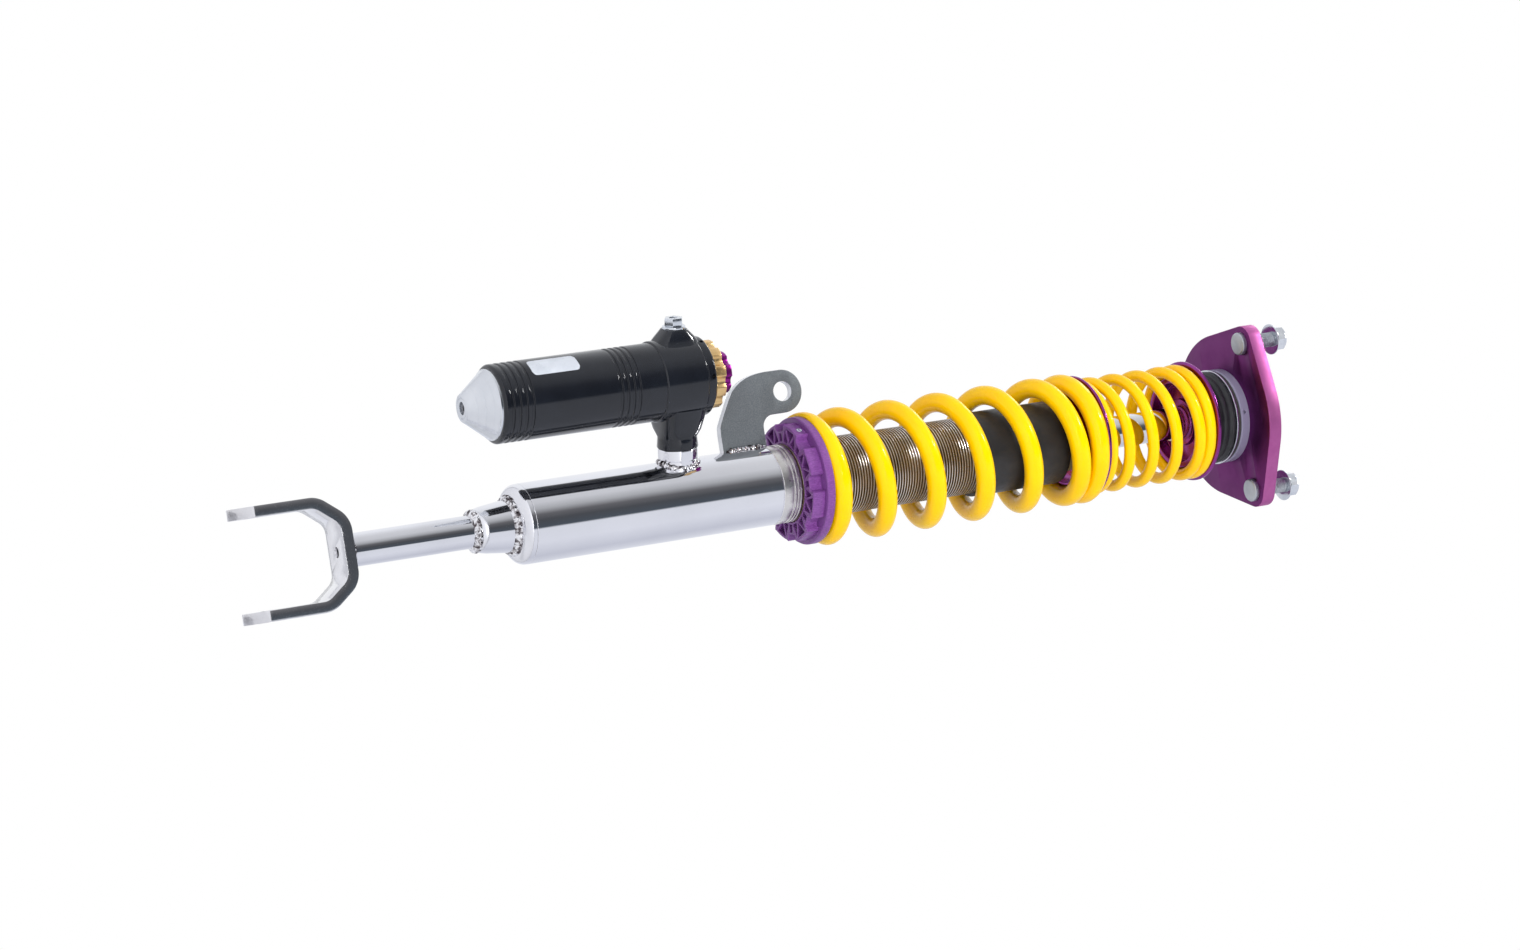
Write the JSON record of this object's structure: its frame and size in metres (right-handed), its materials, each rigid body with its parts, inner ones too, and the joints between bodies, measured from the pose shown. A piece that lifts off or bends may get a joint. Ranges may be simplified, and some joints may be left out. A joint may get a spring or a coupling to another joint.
{
  "type": "coilover",
  "caption": "Suspension coilover with clevis fork, threaded damper, main and helper springs, side reservoir and a studded top plate.",
  "frame": {"origin": "centre of the cross-bolt bore in the clevis fork, on the damper's axis", "axes": "+Z along the damper's axis from the fork to the top plate, +X along the fork's cross bolt; the reservoir and the bracket are on the -X side"},
  "size_m": [0.1845, 0.1271, 0.765],
  "materials": {
    "polished_strap": "polished and bright zinc plated strap steel",
    "polished_steel": "polished stainless steel",
    "weld_metal": "rippled TIG weld, polished",
    "stainless_tube": "polished stainless steel, threaded above",
    "black_sleeve": "satin black",
    "inner_steel": "ground steel",
    "inner_alloy": "turned aluminium",
    "bright_alloy": "turned bright aluminium",
    "brass": "turned brass",
    "bronze": "sintered bronze",
    "seal_rubber": "nitrile rubber",
    "black_rubber": "smooth black rubber",
    "spring_steel": "dark spring steel",
    "bump_foam": "closed-cell foam",
    "grey_bracket": "grey phosphated steel plate",
    "black_anodised": "gloss black anodised aluminium",
    "zinc": "bright zinc plate",
    "gold_anodised": "gold anodised aluminium",
    "magenta_anodised": "magenta anodised aluminium",
    "yellow_spring": "gloss yellow powder coat",
    "purple_composite": "purple glass-filled plastic",
    "purple_anodised": "purple anodised aluminium",
    "hard_chrome": "hard chrome",
    "black_ptfe": "filled PTFE",
    "lavender_ring": "lavender anodised aluminium",
    "purple_plate": "dark plum anodised aluminium"
  },
  "bodies": {
    "housing": {"fork_yoke": "polished_strap", "neck_tube": "polished_steel", "neck_collar": "polished_steel", "tube_base": "polished_steel", "weld_beads": "weld_metal", "damper_tube": "stainless_tube", "black_sleeve": "black_sleeve", "pressure_tube": "inner_steel", "base_valve": "brass", "rod_guide": "inner_alloy", "guide_bush": "bronze", "rod_seal": "seal_rubber", "seal_circlip": "spring_steel", "rod_wiper": "seal_rubber", "bump_stop": "bump_foam", "stabiliser_bracket": "grey_bracket", "port_boss": "polished_steel", "reservoir_head": "black_anodised", "head_bolt": "zinc", "reservoir_body": "black_anodised", "end_cone": "bright_alloy", "gas_valve": "spring_steel", "cap_seal": "seal_rubber", "head_seal": "seal_rubber", "valve_cartridge": "inner_alloy", "end_ring": "black_anodised"},
    "gas_piston": {"floating_piston": "inner_alloy", "floating_piston_seal": "seal_rubber"},
    "compression_wheel": {"adjuster_wheel": "gold_anodised"},
    "compression_knob": {"adjuster_knob": "magenta_anodised"},
    "spring_carrier": {"slip_ring": "inner_steel", "main_spring": "yellow_spring"},
    "perch": {"perch_collar": "purple_composite", "perch_lock_screw": "zinc"},
    "spring_spacer": {"spacer_ring": "purple_anodised"},
    "rod": {"piston_rod": "hard_chrome", "piston": "bronze", "piston_band": "black_ptfe", "piston_nut": "zinc", "rebound_shims": "spring_steel", "rod_spacer": "hard_chrome", "upper_spring_seat": "purple_anodised", "helper_spring": "yellow_spring", "rubber_isolator": "black_rubber", "isolator_washer": "zinc", "bearing_ball": "inner_steel", "top_nut": "zinc", "bearing_seal": "black_ptfe"},
    "top_plate": {"mount_plate": "purple_plate", "swivel_bearing": "lavender_ring", "bearing_race": "inner_steel", "race_circlip": "spring_steel", "plate_studs": "zinc", "stud_nuts": "zinc"},
    "rebound_adjuster": {"rebound_knob": "gold_anodised"}
  },
  "joints": [
    {"name": "perch_lift", "type": "slide", "parent": "housing", "child": "spring_carrier", "axis": [0, 0, 1], "range_m": [0, 0.024]},
    {"name": "perch_turn", "type": "hinge", "parent": "spring_carrier", "child": "perch", "pos_m": [0, 0, 0.375], "axis": [0, 0, 1], "range_deg": [0, 4320]},
    {"name": "damper_stroke", "type": "slide", "parent": "spring_carrier", "child": "rod", "axis": [0, 0, -1], "range_m": [0, 0.07], "stiffness_N_per_m": 30000, "springref_m": -0.012, "deforming": ["main_spring", "helper_spring"]},
    {"name": "spacer_travel", "type": "slide", "parent": "spring_carrier", "child": "spring_spacer", "axis": [0, 0, -1], "range_m": [0, 0.0385], "deforming": ["main_spring", "helper_spring"]},
    {"name": "gas_piston_travel", "type": "slide", "parent": "housing", "child": "gas_piston", "axis": [0, 0, -1], "range_m": [0, 0.01674]},
    {"name": "compression_wheel_turn", "type": "hinge", "parent": "housing", "child": "compression_wheel", "pos_m": [-0.07738, -0.02219, 0.32], "axis": [0, 0, 1], "range_deg": [0, 330]},
    {"name": "compression_knob_turn", "type": "hinge", "parent": "housing", "child": "compression_knob", "pos_m": [-0.07738, -0.02219, 0.328], "axis": [0, 0, 1], "range_deg": [0, 330]},
    {"name": "top_plate_turn", "type": "hinge", "parent": "rod", "child": "top_plate", "pos_m": [0, 0, 0.715], "axis": [0, 0, 1], "continuous": true},
    {"name": "rebound_turn", "type": "hinge", "parent": "rod", "child": "rebound_adjuster", "pos_m": [0, 0, 0.745], "axis": [0, 0, 1], "range_deg": [0, 330]}
  ],
  "couplings": [
    {"joint": "perch_turn", "follows": "perch_lift", "rad_per_m": 3141.6},
    {"joint": "spacer_travel", "follows": "damper_stroke", "ratio": 0.55},
    {"joint": "gas_piston_travel", "follows": "damper_stroke", "ratio": 0.239}
  ]
}
